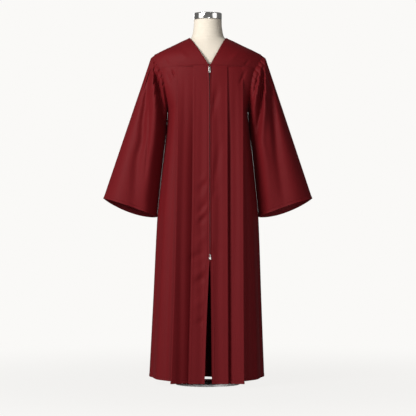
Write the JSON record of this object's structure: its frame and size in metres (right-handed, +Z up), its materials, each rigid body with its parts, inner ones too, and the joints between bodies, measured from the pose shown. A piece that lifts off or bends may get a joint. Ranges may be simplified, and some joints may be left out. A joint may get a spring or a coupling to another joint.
{
  "type": "graduation gown on a limbless dress form",
  "caption": "Full-length academic gown with open sleeves, pleated zipped fronts and a gathered back, worn by a limbless dress form on a round base.",
  "frame": {"origin": "centre of the base plate's underside, on the surface the stand rests on", "axes": "+Z up through the neck, -Y the way the gown faces, +X the wearer's left"},
  "size_m": [0.7832, 0.3441, 1.391],
  "materials": {
    "gown_cloth": "matte",
    "zip_tape": "matte",
    "zip_coil": "satin",
    "zip_metal": "satin",
    "form_linen": "matte",
    "cap_metal": "polished",
    "stand_paint": "satin"
  },
  "bodies": {
    "gown_and_form": {"front_left": "gown_cloth", "front_right": "gown_cloth", "back": "gown_cloth", "yoke_front_left": "gown_cloth", "yoke_front_right": "gown_cloth", "yoke_back": "gown_cloth", "sleeve_left": "gown_cloth", "sleeve_right": "gown_cloth", "zip_tape": "zip_tape", "zip_coil": "zip_coil", "zip_slider": "zip_metal", "zip_bottom_stop": "zip_metal", "form_torso": "form_linen", "neck_cap": "cap_metal", "stand_pole": "stand_paint", "stand_base": "stand_paint"},
    "zip_pull": {"zip_pull_tab": "zip_metal"}
  },
  "joints": [
    {"name": "zip_pull_hinge", "type": "hinge", "parent": "gown_and_form", "child": "zip_pull", "pos_m": [0.00653, -0.1186, 1.17696], "axis": [-1, 0, 0], "range_deg": [0, 150]}
  ]
}
